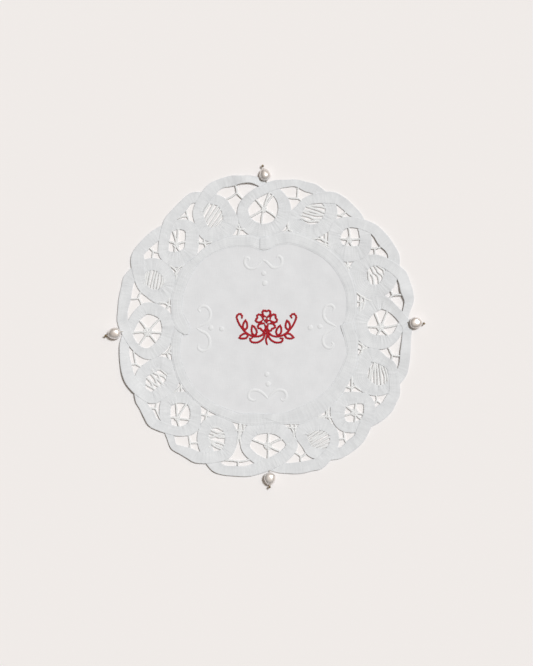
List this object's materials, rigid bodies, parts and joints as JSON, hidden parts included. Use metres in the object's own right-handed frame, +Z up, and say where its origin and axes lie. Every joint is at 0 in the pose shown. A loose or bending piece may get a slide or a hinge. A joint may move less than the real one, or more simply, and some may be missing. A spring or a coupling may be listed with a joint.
{
  "type": "lace doily",
  "caption": "Round tape-lace doily lying flat, with a plain linen centre, looped and scalloped tape border filled with needle lace, and a pearl at each side.",
  "frame": {"origin": "middle of the doily's outer extents, on the underside that lies on the table", "axes": "+Z up out of the cloth's face, +Y towards the side that is the top when the doily is looked at, +X to the right"},
  "size_m": [0.1629, 0.164, 0.0057],
  "materials": {
    "linen": "plain-woven white linen, matt",
    "tape": "woven white cotton tape, matt, gathered on its curves",
    "lace_thread": "twisted white cotton thread, matt",
    "red_thread": "stranded crimson cotton, slight sheen",
    "pearl": "cream pearl with a soft lustre",
    "stopper": "darkened gold bead",
    "pearl_thread": "fine beige thread"
  },
  "bodies": {
    "root": {"linen_centre": "linen", "inner_tape": "tape", "lace_border": "tape", "pearl_north": "pearl", "pearl_east": "pearl", "pearl_south": "pearl", "pearl_west": "pearl", "stopper_north": "stopper", "stopper_east": "stopper", "stopper_south": "stopper", "stopper_west": "stopper", "pearl_thread_north": "pearl_thread", "pearl_thread_east": "pearl_thread", "pearl_thread_south": "pearl_thread", "pearl_thread_west": "pearl_thread"}
  },
  "joints": []
}
